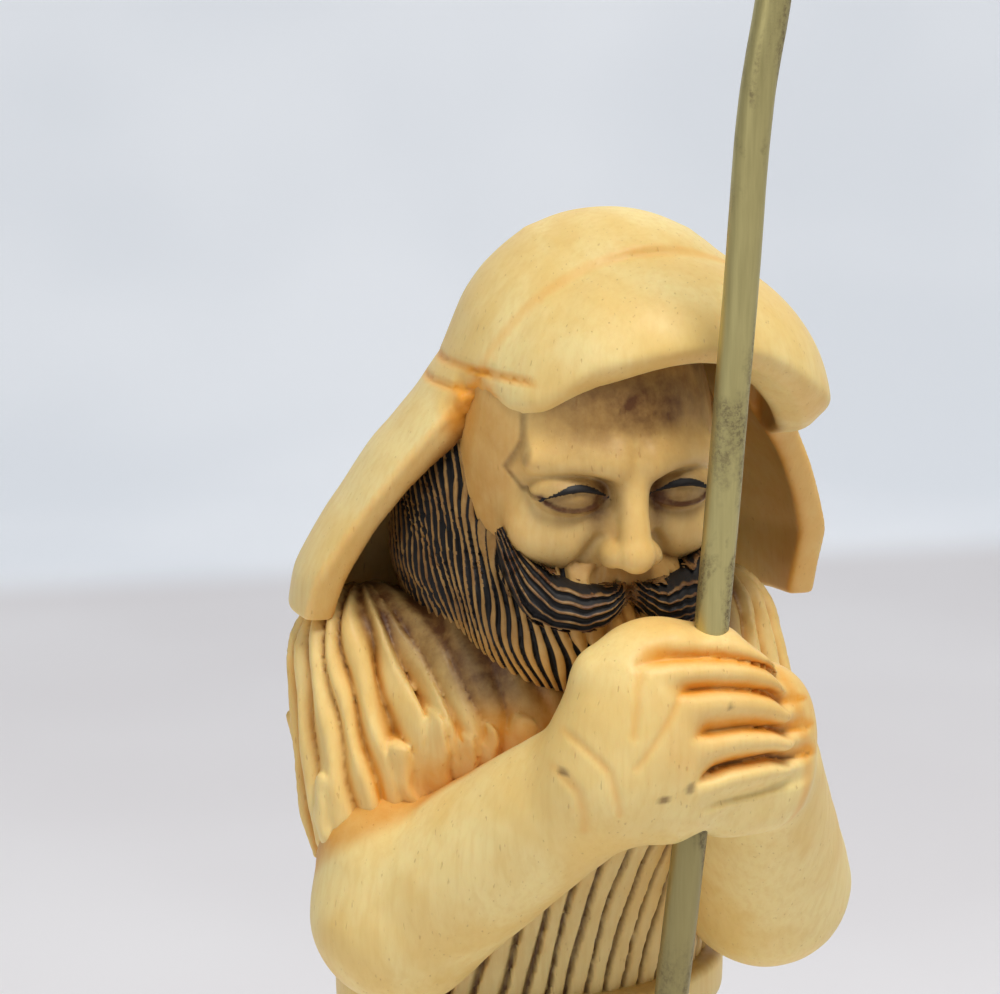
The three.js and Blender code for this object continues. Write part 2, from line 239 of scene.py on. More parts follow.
# The face is cut back under the brim, with arched lids, a straight nose and stained eye lines.
# Like every carved form here it is a field of distances, nought at its skin, laid out in
# millimetres above the plinth. It is meshed where the field changes sign.
plinth_height = 7 * mm
unit = (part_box("figure")[1].z - plinth_height) / 154
draft = 1.0


def rise(value, low=0.0, high=1.0):
    """0 below low and 1 above high, with a smooth rise between them."""
    t = np.clip((value - low) / (high - low), 0, 1)
    return t * t * (3 - 2 * t)


def join(a, b, blend):
    """Both forms, run together over the width of blend."""
    near = np.maximum(blend - np.abs(a - b), 0) / blend
    return np.minimum(a, b) - near * near * blend * 0.25


def cut(a, b, blend):
    """The form a without the form b."""
    return -join(-a, b, blend)


def keep(a, b, blend):
    """What the forms a and b share."""
    return -join(-a, -b, blend)


def ellipsoid(x, y, z, centre, half):
    px, py, pz = x - centre[0], y - centre[1], z - centre[2]
    reach = np.sqrt((px / half[0]) ** 2 + (py / half[1]) ** 2 + (pz / half[2]) ** 2)
    slope = np.sqrt((px / half[0] ** 2) ** 2 + (py / half[1] ** 2) ** 2 + (pz / half[2] ** 2) ** 2)
    return reach * (reach - 1) / np.maximum(slope, 1e-6)


def rod(x, y, z, start, end, start_radius, end_radius):
    """A round-ended rod whose radius changes evenly along it."""
    way = np.subtract(end, start)
    px, py, pz = x - start[0], y - start[1], z - start[2]
    t = np.clip((px * way[0] + py * way[1] + pz * way[2]) / (way @ way), 0, 1)
    off = np.sqrt((px - t * way[0]) ** 2 + (py - t * way[1]) ** 2 + (pz - t * way[2]) ** 2)
    return off - (start_radius + t * (end_radius - start_radius))


def ripple(a, b=0.0, seed=0.0):
    """A slow irregular wave between about -1 and 1."""
    first = np.sin(1.7 * a + 1.3 * b + 2.3 * seed)
    second = 0.6 * np.sin(3.1 * a - 2.2 * b + 1.1 * seed + 1.3)
    return (first + second + 0.35 * np.sin(7.3 * a + 5.1 * b + 0.7 * seed + 0.4)) / 1.95


def knife_work(x, y, z, size, seed):
    """The slight unevenness that a knife leaves, about size across."""
    a = ripple((x + 0.6 * z) / size, (y - 0.3 * z) / size, seed)
    b = ripple((z - 0.5 * y) / size, (x + 0.4 * y) / size, seed + 5)
    return 0.5 * (a + b)


def line(across, up, stops, width):
    """How near a place is to a line drawn on the front: 1 on the line, 0 a width away."""
    nearest = np.full(np.shape(across), 1e9, np.float32)
    for (a, b), (c, d) in zip(stops, stops[1:]):
        t = np.clip(((across - a) * (c - a) + (up - b) * (d - b)) / ((c - a) ** 2 + (d - b) ** 2), 0, 1)
        nearest = np.minimum(nearest, (across - a - t * (c - a)) ** 2 + (up - b - t * (d - b)) ** 2)
    return rise(width - np.sqrt(nearest), 0, width)


corner_steps = np.array([(i, j, k) for i in (0, 1) for j in (0, 1) for k in (0, 1)])
corner_pairs = [
    (a, b) for a in range(8) for b in range(a + 1, 8) if np.abs(corner_steps[a] - corner_steps[b]).sum() == 1
]
block_cells = 4
chunk = 400000


def measured(field, places):
    """The field at many places, worked out in chunks."""
    parts = [field(*places[i : i + chunk].T.astype(np.float32)) for i in range(0, len(places), chunk)]
    return np.concatenate(parts).astype(np.float32)


def skin(field, low, high, cell):
    """Points in millimetres and four-sided faces where the field is nought."""
    low = np.array(low, float)
    blocks = np.ceil((np.array(high) - low) / cell / block_cells).astype(int)
    centres = low + (np.indices(blocks).reshape(3, -1).T + 0.5) * block_cells * cell
    coarse = measured(field, centres).reshape(blocks)
    close = np.abs(coarse) < block_cells * cell * 1.5

    def grown(part):
        return np.pad(np.kron(part, np.ones((block_cells,) * 3, part.dtype)), (0, 1), "edge")

    values = grown(np.where(coarse < 0, -1, 1).astype(np.float32))
    wanted = grown(close)
    for axis in range(3):
        wanted |= np.roll(wanted, 1, axis)
    number = np.flatnonzero(wanted)
    places = low + np.stack(np.unravel_index(number, values.shape), 1) * cell
    values.ravel()[number] = measured(field, places)
    inside = values < 0
    cell_counts = np.array(inside.shape) - 1
    corners = np.zeros(cell_counts, np.int8)
    for i, j, k in corner_steps:
        corners += inside[i : i + cell_counts[0], j : j + cell_counts[1], k : k + cell_counts[2]]
    crossed = (corners > 0) & (corners < 8)
    cells = np.stack(np.nonzero(crossed), 1)
    at_corner = [values[tuple((cells + step).T)] for step in corner_steps]
    total = np.zeros((len(cells), 3))
    count = np.zeros(len(cells))
    for a, b in corner_pairs:
        crosses = (at_corner[a] < 0) != (at_corner[b] < 0)
        share = at_corner[a][crosses] / (at_corner[a][crosses] - at_corner[b][crosses])
        total[crosses] += corner_steps[a] + share[:, None] * (corner_steps[b] - corner_steps[a])
        count[crosses] += 1
    points = low + (cells + total / count[:, None]) * cell
    order = np.full(crossed.shape, -1, np.int32)
    order[crossed] = np.arange(len(cells))
    faces = []
    for axis in range(3):
        first = np.take(inside, range(inside.shape[axis] - 1), axis)
        second = np.take(inside, range(1, inside.shape[axis]), axis)
        edges = np.stack(np.nonzero(first != second), 1)
        side, other = np.eye(3, dtype=int)[(axis + 1) % 3], np.eye(3, dtype=int)[(axis + 2) % 3]
        ring = [order[tuple((edges - back).T)] for back in (0 * side, side, side + other, other)]
        quads = np.stack(ring, 1)
        outwards = first[tuple(edges.T)]
        quads[outwards] = quads[outwards][:, ::-1]
        faces.append(quads)
    return points, np.concatenate(faces)


def settled(field, points, reach):
    """The points moved on to the skin exactly, along the field's slope there."""
    tips = np.array([(1, -1, -1), (-1, -1, 1), (-1, 1, -1), (1, 1, 1)])
    width = 0.08
    samples = [measured(field, points + tip * width) for tip in tips]
    slope = sum(sample[:, None] * tip for sample, tip in zip(samples, tips)) / (4 * width)
    value = sum(samples) / 4
    step = (value / np.maximum((slope**2).sum(1), 0.05))[:, None] * slope
    length = np.linalg.norm(step, axis=1, keepdims=True)
    return points - step * np.minimum(1, reach / np.maximum(length, 1e-9))


def carve(name, field, low, high, cell, marks):
    """A carved piece: its mesh, with each of its marks kept as a number at every point."""
    size = cell * draft
    middle, half = np.add(high, low) / 2, np.subtract(high, low) / 2 - 1.5 * size

    def closed(x, y, z):
        past = [abs(place - m) - h for place, m, h in zip((x, y, z), middle, half)]
        return np.maximum(field(x, y, z), np.maximum(np.maximum(past[0], past[1]), past[2]))

    points, faces = skin(closed, low, high, size)
    points = settled(closed, points, 0.4 * size)
    mesh = bpy.data.meshes.new(name)
    mesh.vertices.add(len(points))
    placed = points * unit + np.array([0, 0, plinth_height])
    mesh.vertices.foreach_set("co", placed.astype(np.float32).ravel())
    mesh.loops.add(faces.size)
    mesh.loops.foreach_set("vertex_index", faces.astype(np.int32).ravel())
    mesh.polygons.add(len(faces))
    mesh.polygons.foreach_set("loop_start", np.arange(0, faces.size, 4, dtype=np.int32))
    mesh.update(calc_edges=True)
    mesh.shade_smooth()
    for mark, value in marks(*points.T.astype(np.float32)).items():
        kept = mesh.attributes.new(mark, "FLOAT", "POINT")
        kept.data.foreach_set("value", np.broadcast_to(value, len(points)).astype(np.float32))
    mesh.materials.append(wood)
    made = bpy.data.objects.new(name, mesh)
    bpy.context.scene.collection.objects.link(made)
    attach(made, "root")
    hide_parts("figure")


def carved_wood():
    """Pale close-grained wood, waxed to a satin sheen, with stain left in the cuts. The
    marks warm and brown say how much stain there is, and in hollows, under the brim and
    beside other parts how much shade is painted in. The mark strands counts the strokes
    of hair across them, and ink says how much of each stroke's width is dark."""
    wood = Finish("carved_wood")
    across = wood.places()
    lengthways = wood.places((1, 1, 0.12))
    cloud = wood.noise(across, 0.07, 3.0, 0.5, 0.8)
    grain = wood.noise(lengthways, 1.3, 4.0, 0.6, 0.3)
    fine = wood.noise(lengthways, 5.0, 2.0, 0.6)
    pores = wood.noise(wood.places((1, 1, 0.25)), 3.1, 1.0, 0.4).rise(0.70, 0.78)
    tone = wood.mix(cloud.rise(0.35, 0.65), colour(238, 204, 126), colour(246, 222, 152))
    tone = wood.mix(grain.rise(0.35, 0.75) * 0.3, tone, colour(226, 184, 104))
    tone = wood.mix(pores * 0.3, tone, colour(170, 120, 62))
    patchy = 0.5 + 1.0 * wood.noise(across, 0.45, 4.0, 0.62)
    tone = wood.mix(wood.attribute("warm") * patchy, tone, colour(234, 160, 54))
    tone = wood.mix(wood.attribute("brown") * patchy, tone, colour(92, 54, 19))
    middle = (wood.attribute("strands").fraction() - 0.5).size() * -2 + 1
    ink = (middle - 1 + wood.attribute("ink")).rise(0.02, 0.2)
    tone = wood.mix(ink, tone, colour(13, 8, 6))
    relief = 0.5 * grain + 0.3 * fine - 0.6 * pores
    rough = 0.40 + 0.16 * cloud + 0.10 * grain + 0.1 * ink
    return wood.set(
        Base_Color=tone,
        Roughness=rough,
        Normal=wood.bump(relief, 0.05 * mm),
        Specular_IOR_Level=0.38,
        Subsurface_Weight=0.2,
        Subsurface_Radius=(1.0, 0.5, 0.2),
        Subsurface_Scale=0.5 * mm,
        Coat_Weight=0.05,
        Coat_Roughness=0.35,
    )


wood = carved_wood()
head_place = (-1.4, -14, 131.6)
head_nod = math.radians(12)
head_turn = math.radians(-7)
skull_half = (12.4, 15, 19.2)
eye_side = 5.3
crack_stops = [(-9.0, 8.0), (-9.2, 6.4), (-9.4, 4.1), (-10.4, 1.1), (-9.3, -0.2), (-8.5, 0.2)]


def in_head(x, y, z):
    """Places in the head's own frame: its left, its back, and up from its middle."""
    px, py, pz = x - head_place[0], y - head_place[1], z - head_place[2]
    c, s = math.cos(head_turn), math.sin(head_turn)
    px, py = c * px + s * py, c * py - s * px
    c, s = math.cos(head_nod), math.sin(head_nod)
    return px, c * py + s * pz, c * pz - s * py


def lids(side):
    """The heights of the upper lid's edge and of the lower one's, beside the eye's middle."""
    off = side - eye_side
    return 0.95 - 0.10 * off**2, -0.95 + 0.08 * off**2


def face(x, y, z):
    hx, hy, hz = in_head(x, y, z)
    side = np.abs(hx)
    form = ellipsoid(hx, hy, hz, (0, 0, 0), skull_half)
    brow = rod(side, hy, hz, (1.8, -14.5, 3.5), (8.6, -11.3, 3.1), 1.3, 0.9)
    form = join(form, brow, 2.6)
    form = join(form, ellipsoid(side, hy, hz, (6.7, -10.4, -4.6), (3.9, 3.2, 3.0)), 3.0)
    form = cut(form, ellipsoid(side, hy, hz, (eye_side, -15.4, 0.3), (4.1, 3.4, 2.3)), 1.0)
    eye = ellipsoid(side, hy, hz, (eye_side, -11.9, 0), (3.3, 2.8, 1.8))
    upper, lower = lids(side)
    form = join(form, eye, 0.2)
    form = join(form, keep(eye - 0.5, upper - hz, 0.25), 0.4)
    form = join(form, keep(eye - 0.38, hz - lower, 0.25), 0.5)
    nose = rod(hx, hy, hz, (0, -14.0, 2.6), (0, -16.9, -4.2), 1.1, 1.6)
    nose = join(nose, ellipsoid(hx, hy, hz, (0, -17.0, -4.9), (1.8, 1.9, 1.6)), 0.9)
    nose = join(nose, ellipsoid(side, hy, hz, (2.0, -15.7, -5.2), (1.2, 1.6, 1.2)), 0.9)
    form = join(form, nose, 1.4)
    form = cut(form, ellipsoid(side, hy, hz, (1.2, -16.6, -6.5), (0.6, 0.9, 0.6)), 0.4)
    smile = line(side, hz, [(2.9, -4.0), (4.4, -6.6), (5.2, -9.0)], 0.9) * rise(-hy, 8, 10)
    crack = line(hx, hz, crack_stops, 0.28)
    return form + 0.35 * smile + 0.2 * crack + 0.08 * knife_work(x, y, z, 3.0, 2)


# The face's brown and warm marks are partly painted shade: under the brim, round the eyes and beside the
# nose.
def face_marks(x, y, z):
    hx, hy, hz = in_head(x, y, z)
    side = np.abs(hx)
    front = rise(-hy, 8, 10)
    upper, lower = lids(side)
    off = np.abs(side - eye_side)
    thick = 0.6 * rise(3.9 - off, 0, 3.4)
    lash = rise(hz - upper, -0.1, 0.08) * rise(upper + thick - hz, -0.06, 0.1) * rise(3.7 - off, 0, 0.4)
    below_eye = rise(0.4 - np.abs(hz - lower), 0, 0.35) * rise(3.6 - off, 0, 0.8)
    # Painted shade: socket darkens the hollow round each eye, and beside_nose the sides of the nose.
    socket = rise(2.3 - np.sqrt((off / 2.2) ** 2 + (hz / 1.6) ** 2), 0, 1.5) * front
    beside_nose = line(side, hz, [(2.4, 1.6), (2.9, -2.4), (3.8, -5.6), (5.4, -9.4)], 1.9) * front
    # top and patch are painted shade on the forehead under the brim; below and temple make the face darker
    # and warmer towards the chin and the temples.
    top = rise(hz, 1.5, 9) * rise(hx + 10.5, 0, 5)
    below = rise(-hz, 5, 9)
    temple = rise(side, 8.5, 11.5)
    patch = rise(1.6 - np.hypot((hx - 1.5) / 3.4, (hz - 8.4) / 2.2), 0, 1)
    crack = line(hx, hz, crack_stops, 0.42)
    brown = 0.55 * socket + 0.4 * beside_nose + 0.62 * top + 0.35 * below + 0.16 * patch + 0.1 * temple
    brown = brown + 0.5 * below_eye * front + 0.4 * crack
    return {
        "brown": np.clip(brown + 0.1, 0, 0.95),
        "warm": np.clip(0.25 + 0.3 * below + 0.35 * temple + 0.1 * top, 0, 1),
        "ink": lash * front,
        "strands": 0.5,
    }


carve("face", face, (-15, -35, 113), (12, -8, 151), 0.21, face_marks)


# Hair and beard are one mass round the face. They are cut in short deep strokes that run
# down and forwards. Dark stain fills the strokes, and the wood between them is brown.
hair_heights = [105, 112, 120, 128, 136, 143]
hair_widths = [11, 14.8, 17.4, 17, 13.5, 9]
hair_depths = [12, 16, 17, 16, 12, 8]
hair_middles = [-5, -5, -5, -5, -9, -11]
strand_count = 104
strand_length = 9.5
strand_depth = 0.6
strand_middle = (0.5, -5)
hair_foot = 104
hair_top = 144
lip_height = 116
beard_place = (0, -5, -13.5)
beard_half = (13, 11.8, 10.5)


def curve(place, stations, values):
    """A smooth value along stations, flat past both ends and free of overshoot."""
    stations = np.asarray(stations, float)
    values = np.asarray(values, float)
    steps = np.diff(stations)
    slopes = np.diff(values) / steps
    product = slopes[:-1] * slopes[1:]
    inner = np.where(product > 0, 2 * product / np.where(product > 0, slopes[:-1] + slopes[1:], 1), 0)
    tangents = np.concatenate([[0], inner, [0]])
    held = np.clip(place, stations[0], stations[-1])
    i = np.clip(np.searchsorted(stations, held, side="right") - 1, 0, len(steps) - 1)
    t = (held - stations[i]) / steps[i]
    near = (2 * t**3 - 3 * t**2 + 1) * values[i] + (t**3 - 2 * t**2 + t) * steps[i] * tangents[i]
    far = (3 * t**2 - 2 * t**3) * values[i + 1] + (t**3 - t**2) * steps[i] * tangents[i + 1]
    return (near + far).astype(np.float32)


def chance(number, seed):
    """A fixed random share for each whole number."""
    wave = np.sin(number * 12.9898 + seed * 78.233) * 437.5453
    return wave - np.floor(wave)


def mane(x, y, z):
    wide = curve(z, hair_heights, hair_widths)
    deep = curve(z, hair_heights, hair_depths)
    middle = curve(z, hair_heights, hair_middles)
    share = np.sqrt(((x - strand_middle[0]) / wide) ** 2 + ((y - middle) / deep) ** 2)
    hair = (share - 1) * np.minimum(wide, deep) * 0.9
    hair = np.maximum(hair, np.maximum(z - hair_top, hair_foot - z))
    beard = ellipsoid(*in_head(x, y, z), beard_place, beard_half)
    return join(hair, beard, 2.0)


def strand(x, y, z):
    """Which strand a place lies on, as a number that grows round the head, and how wide
    its stroke is there, 0 to 1."""
    angle = np.arctan2(x - strand_middle[0], strand_middle[1] - y)
    above_lip = z - lip_height
    lean = 0.12 * (above_lip + np.sqrt(above_lip**2 + 16)) * np.clip(-x / 8, -1, 1)
    place = angle * strand_count / (2 * np.pi) + lean + 0.9 * ripple(0.14 * z, 3.0 * angle, 3)
    number = np.floor(place)
    along = z / (strand_length * (0.8 + 0.6 * chance(number, 4))) + chance(number, 5)
    along = along - np.floor(along)
    width = rise(along, 0, 0.34) * rise(1 - along, 0, 0.3) * (0.66 + 0.3 * chance(number, 6))
    side = rise(np.abs(x), 11, 16)
    width = np.maximum(width, 0.7 * side) + 0.14 * side
    fringe = rise(120 - z, 0, 3) * (1 - side)
    return place, np.clip(width + fringe * (0.56 - width), 0, 0.94)


def groove(place, width):
    """The depth of a stroke, 0 to 1, where its width is a share of the spacing."""
    share = place - np.floor(place)
    return rise(width - np.abs(share - 0.5) * 2, 0, 0.55)


def hair_and_beard(x, y, z):
    strokes = strand_depth * groove(*strand(x, y, z))
    return mane(x, y, z) + strokes + 0.08 * knife_work(x, y, z, 2.5, 6)


def hair_marks(x, y, z):
    place, width = strand(x, y, z)
    hx, hy, hz = in_head(x, y, z)
    chin = rise(6.5 - np.abs(hx), 0, 2) * rise(hz + 15.0, 0, 1.2) * rise(-hy, 8, 10)
    brown = 0.4 + 0.35 * rise(np.abs(x), 9, 16) - 0.15 * rise(lip_height - z, 0, 4)
    return {"brown": brown, "warm": 0.55, "ink": width * (1 - chin), "strands": place}


carve("hair_and_beard", hair_and_beard, (-20, -31, 104), (21, 0, 144), 0.31, hair_marks)


# The moustache is two heavy crescents that sweep up at the ends. Long dark strokes follow
# them and draw together at the tips.
moustache_turns = [0, 0.3, 0.6, 0.85, 1]
moustache_sides = [0.9, 3.9, 7.3, 9.7, 10.9]
moustache_fronts = [-16.0, -15.5, -13.7, -11.4, -9.9]
moustache_heights = [-9.2, -10.6, -10.2, -7.9, -5.0]
moustache_radii = [1.3, 2.5, 2.8, 1.9, 0.9]
whisker_count = 3.0


def whiskers(x, y, z):
    """The moustache's form, and the place across its strokes."""
    hx, hy, hz = in_head(x, y, z)
    side = np.abs(hx)
    rows = (moustache_sides, moustache_fronts, moustache_heights, moustache_radii)
    stops = list(zip(*[curve(np.linspace(0, 1, 13), moustache_turns, row) for row in rows]))
    form = 1e3
    nearest = np.full(x.shape, 1e3, np.float32)
    across = np.zeros(x.shape, np.float32)
    for (ax, ay, az, ar), (bx, by, bz, br) in zip(stops, stops[1:]):
        form = np.minimum(form, rod(side, hy, hz, (ax, ay, az), (bx, by, bz), ar, br))
        run, climb = bx - ax, bz - az
        t = np.clip(((side - ax) * run + (hz - az) * climb) / (run**2 + climb**2), 0, 1)
        off = ((hz - az) * run - (side - ax) * climb) / math.hypot(run, climb)
        gap = np.hypot(side - ax - t * run, hz - az - t * climb)
        across = np.where(gap < nearest, off / (ar + t * (br - ar)), across)
        nearest = np.minimum(nearest, gap)
    return form, across * whisker_count + 0.35 * ripple(0.5 * side, 0.4 * hx, 7) + 20


def moustache(x, y, z):
    form, place = whiskers(x, y, z)
    return form + 0.45 * groove(place, 0.9)


def moustache_marks(x, y, z):
    form, place = whiskers(x, y, z)
    parting = rise(np.abs(in_head(x, y, z)[0]), 0.4, 1.0)
    dark = 0.86 + 0.12 * ripple(0.3 * x, 0.5 * z, 3)
    return {"brown": 0.9, "warm": 0.4, "ink": parting * np.clip(dark, 0, 0.97), "strands": place}


carve("moustache", moustache, (-17, -34, 111), (14, -16, 132), 0.18, moustache_marks)


# The hood is a thick head-cloth: a bell over head and shoulders, open in front, with a heavy
# visor-like brim. Its inside is painted darker and more orange for shade, its right end is
# roughly broken out under the brim, and two lines are scored beside it.
hood_middle = 2.4
hood_thickness = 4.2
bell_heights = [105, 109, 112, 117.4, 121, 125, 129.8, 133, 137, 141, 145, 148, 151]
bell_widths = [29.5, 29.7, 29.4, 29.1, 27.7, 25.6, 22.7, 20.4, 17.6, 15.6, 13.4, 11, 7]
bell_depths = [22.6, 22.5, 22.2, 21.8, 21.2, 20.6, 20, 19.4, 18.6, 17, 14.8, 12.4, 8]
bell_middles = [-2, -2, -2.5, -4, -5, -6.5, -8, -9.5, -11, -12, -12, -12, -12]
crown_place = (2.4, -12, 139)
crown_half = (15.2, 16.6, 15)
brim_angles = [-95, -88, -65, -50, -30, 0, 20, 45, 60, 88, 95]
brim_edges = [134.4, 134.5, 134.4, 135.2, 139.2, 141.3, 140.3, 135.8, 133, 130.4, 130]
brim_reaches = [15.7, 16, 17.2, 18.2, 18.6, 18.7, 19.4, 21, 21.6, 22.3, 22.4]
brim_lips = [3.2, 3.0, 2.8, 2.4, 2.0, 1.6, 1.6, 1.8, 2.2, 2.4, 2.4]
brim_middle = -13
brim_top = 151.5
brim_thickness = 5.5
hollow_back = 6
scores = [((-20, 140.0), (-11.6, 139.5)), ((-20, 138.0), (-13.4, 137.5))]


def bell(x, y, z, inset):
    wide = np.maximum(curve(z, bell_heights, bell_widths) - inset, 0.5)
    deep = np.maximum(curve(z, bell_heights, bell_depths) - inset, 0.5)
    middle = curve(z, bell_heights, bell_middles)
    share = np.sqrt(((x - hood_middle) / wide) ** 2 + ((y - middle) / deep) ** 2)
    skirts = np.maximum((share - 1) * np.minimum(wide, deep) * 0.8, z - 151 + inset)
    crown = ellipsoid(x, y, z, crown_place, [half - inset for half in crown_half])
    return join(skirts, crown, 1.5)


def brim(x, y, z):
    """The visor's outer form, the hollow under it, and how far a place is above its edge."""
    side, ahead = x - hood_middle, brim_middle - y
    angle = np.degrees(np.arctan2(side, ahead))
    away = np.sqrt(side * side + ahead * ahead)
    edge = curve(angle, brim_angles, brim_edges)
    reach = curve(angle, brim_angles, brim_reaches)
    lip = curve(angle, brim_angles, brim_lips)
    share = np.clip((z - edge) / (brim_top - edge), 0, 1)
    outside = np.maximum((away - reach * np.sqrt(1 - share**2.2)) * 0.8, z - brim_top)
    form = keep(outside, edge - z, 0.5)
    form = keep(form, (edge - z + away - reach + lip) * 0.7, 0.6)
    form = keep(form, (-ahead - 0.6) * 0.9, 0.8)
    top = brim_top - brim_thickness
    share = np.clip((z - edge) / (top - edge), 0, 1)
    hollow = np.maximum((away - (reach - brim_thickness) * np.sqrt(1 - share**2.2)) * 0.8, z - top)
    return form, np.maximum(hollow, -ahead), edge - z + away - reach + lip


def flap_front(z):
    return -15.2 + (137 - z) * 0.46


def broken(x, y, z):
    """The rough end of the brim on the figure's right, 0 to 1."""
    return rise(5.5 - np.sqrt((x + 12.5) ** 2 + (y + 16) ** 2 + (z - 135.5) ** 2), 0, 3)


def hood(x, y, z):
    cloth = keep(bell(x, y, z, 0.0), (flap_front(z) - y) * 0.9, 0.5)
    cloth = keep(cloth, 112 - 0.06 * x - z, 0.6)
    visor, under_visor, _ = brim(x, y, z)
    cloth = join(cloth, visor, 1.2)
    wall = hood_thickness - 1.0 * rise(134 - z, 0, 8)
    cloth = cut(cloth, np.maximum(bell(x, y, z, wall), y - hollow_back), 0.5)
    cloth = cut(cloth, under_visor, 0.6)
    scored = sum(line(x, z, score, 0.45) for score in scores) * rise(-x, 10, 11.5)
    chips = broken(x, y, z) * (0.45 * knife_work(x, y, z, 0.9, 17) + 0.3)
    return cloth + 0.12 * knife_work(x, y, z, 6.0, 1) + 0.25 * scored + chips


def hood_marks(x, y, z):
    _, under_visor, past_lip = brim(x, y, z)
    # Painted shade: within darkens and warms the inside of the hood, lip the brim's down-turned edge, facing
    # the front faces of the flaps, near_hair the hollow beside the hair, and under_brim the underside of the
    # brim.
    within = rise(-bell(x, y, z, 1.4), 0, 2.0) * rise(-y, -8, 4) * rise(150 - z, 0, 6)
    lip = rise(past_lip, -0.6, 0.5) * rise(-15.0 - y, 0, 1)
    facing = rise(1.0 - np.abs(flap_front(z) - y), 0, 0.8)
    near_hair = rise(7 - mane(x, y, z), 0, 6) * within
    under_brim = rise(1.2 - np.abs(under_visor), 0, 1) * rise(-y, 14, 18)
    scored = sum(line(x, z, score, 0.7) for score in scores) * rise(-x, 10, 11.5)
    warm = 0.35 * lip + 0.3 * facing + 0.6 * within + 0.8 * scored + 0.7 * broken(x, y, z)
    brown = 0.1 * within + 0.75 * near_hair * rise(-x, -4, 6) + 0.3 * under_brim
    return {"warm": np.clip(warm, 0, 1), "brown": np.clip(brown, 0, 0.9)}


carve("hood", hood, (-30, -36, 106), (36, 24, 156), 0.46, hood_marks)


# Bare forearms come out of the sleeves and meet in two clasped hands. The fingers of the
# figure's right hand lie over the left one, in five rounded ridges with stain and painted shade
# between them.
forearm_right = ((-18.6, -9, 84), (-6.5, -29, 102), 8.9, 6.5)
forearm_left = ((20.2, -14, 83.2), (11.2, -27, 100.2), 8.9, 6.7)
upper_arm_right = ((-18.6, -9, 84), (-18.5, -8.2, 89), 8.9, 8.4)
upper_arm_left = ((19.6, -13, 84), (19.2, -11.5, 89), 8.4, 7.8)
finger_places = [-7, -3.4, 0, 3.6, 7, 10]
finger_edges = [
    [118.9, 118.1, 117.4, 116.5, 114.5, 112.1],
    [114.4, 114.7, 114.5, 114.0, 112.9, 110.9],
    [111.1, 111.6, 111.7, 111.3, 110.4, 108.9],
    [106.7, 107.3, 107.5, 107.5, 107.0, 106.1],
    [101.1, 102.0, 103.1, 103.9, 104.0, 103.4],
    [97.9, 98.7, 99.3, 99.8, 100.1, 100.5],
]
knuckle_starts = [-8.5, -7.5, -4.2, -2.6, -1.8, -1.4]
tip_heights = [98, 101, 104.5, 107.5, 110.5, 113, 116]
tip_places = [11.6, 12.0, 11.6, 10.9, 9.9, 8.8, 7.0]
valley_depths = [0.4, 0.9, 1.5, 1.6, 2.0, 0.5]
creases = [
    [(-6.2, 114.4), (-6.8, 112.3), (-7.4, 108.1)],
    [(-3.0, 111.4), (-5.3, 107.8), (-7.1, 105.2)],
    [(-12.6, 108.8), (-9.4, 104.8), (-8.2, 100.5)],
    [(-14.6, 107.0), (-11.6, 102.6), (-10.6, 98.6)],
]
knots = [
    (-4.2, 101.7, 0.62, 0.36),
    (-1.6, 102.6, 0.5, 0.55),
    (-12.4, 104.2, 0.24, 0.34),
    (2.3, 110.2, 0.4, 0.2),
]


def block(x, y, z, centre, half, power):
    """A ball with flattened sides, more so as the power grows."""
    shares = [np.abs(place - c) / h for place, c, h in zip((x, y, z), centre, half)]
    return (sum(share**power for share in shares) ** (1 / power) - 1) * min(half)


def finger(x, z):
    """Where a place lies down the row of fingers: 0 at the top edge, and a whole number in
    each valley. With it goes how far along its finger the place is, 0 at the knuckle to 1."""
    edges = [curve(x, finger_places, heights) for heights in finger_edges]
    row = sum(np.clip((high - z) / (high - low), 0, 1) for high, low in zip(edges, edges[1:]))
    start = curve(row, range(6), knuckle_starts)
    return row, rise(x, start, start + 3.6)


def finger_valley(x, z):
    """How near a place is to a valley between fingers, 0 to 1. Each finger falls slowly from
    its crest and laps over the next one below."""
    row, length = finger(x, z)
    share = row - np.floor(row)
    valley = 1 - np.sin(np.pi * share**0.55)
    within = rise(row, 0.02, 0.3) * rise(5 - row, 0.0, 0.2)
    return valley * length * within


def fist(x, y, z):
    near = ellipsoid(x - 0.17 * (z - 107), y, z, (-4.4, -31.3, 107.2), (7.6, 6.5, 10.4))
    thumb = rod(x, y, z, (-7.6, -31.0, 112.4), (-2.0, -34.0, 115.4), 2.8, 1.7)
    heel = ellipsoid(x, y, z, (-0.6, -31.3, 101.0), (6.0, 5.2, 5.6))
    near = join(join(near, thumb, 1.2), heel, 2.0)
    row, _ = finger(x, z)
    tip = curve(z, tip_heights, tip_places) - 0.8 * (1 - np.sin(np.pi * (row - np.floor(row))))
    front_row = block(x, y, z, (2.4, -33.2, 108.0), (11.0, 5.0, 8.9), 2.9)
    front_row = keep(front_row, (x - tip) * 0.85, 2.6)
    far = block(x, y, z, (7.0, -31.2, 103.7), (7.9, 5.0, 8.6), 2.6)
    return join(join(near, front_row, 1.6), far, 0.6)


def arms(x, y, z):
    right = join(rod(x, y, z, *forearm_right), rod(x, y, z, *upper_arm_right), 1.5)
    left = join(rod(x, y, z, *forearm_left), rod(x, y, z, *upper_arm_left), 1.5)
    hand_join = 0.8 + 2.2 * rise(4 - x, 0, 6)
    form = join(np.minimum(right, left), fist(x, y, z), hand_join)
    valley = curve(finger(x, z)[0], range(6), valley_depths) * finger_valley(x, z) * rise(-y, 34.6, 36.0)
    folds = sum(line(x, z, crease, 0.6) for crease in creases) * rise(-y, 31, 33)
    return form + valley + 0.18 * folds + 0.1 * knife_work(x, y, z, 4.5, 14)


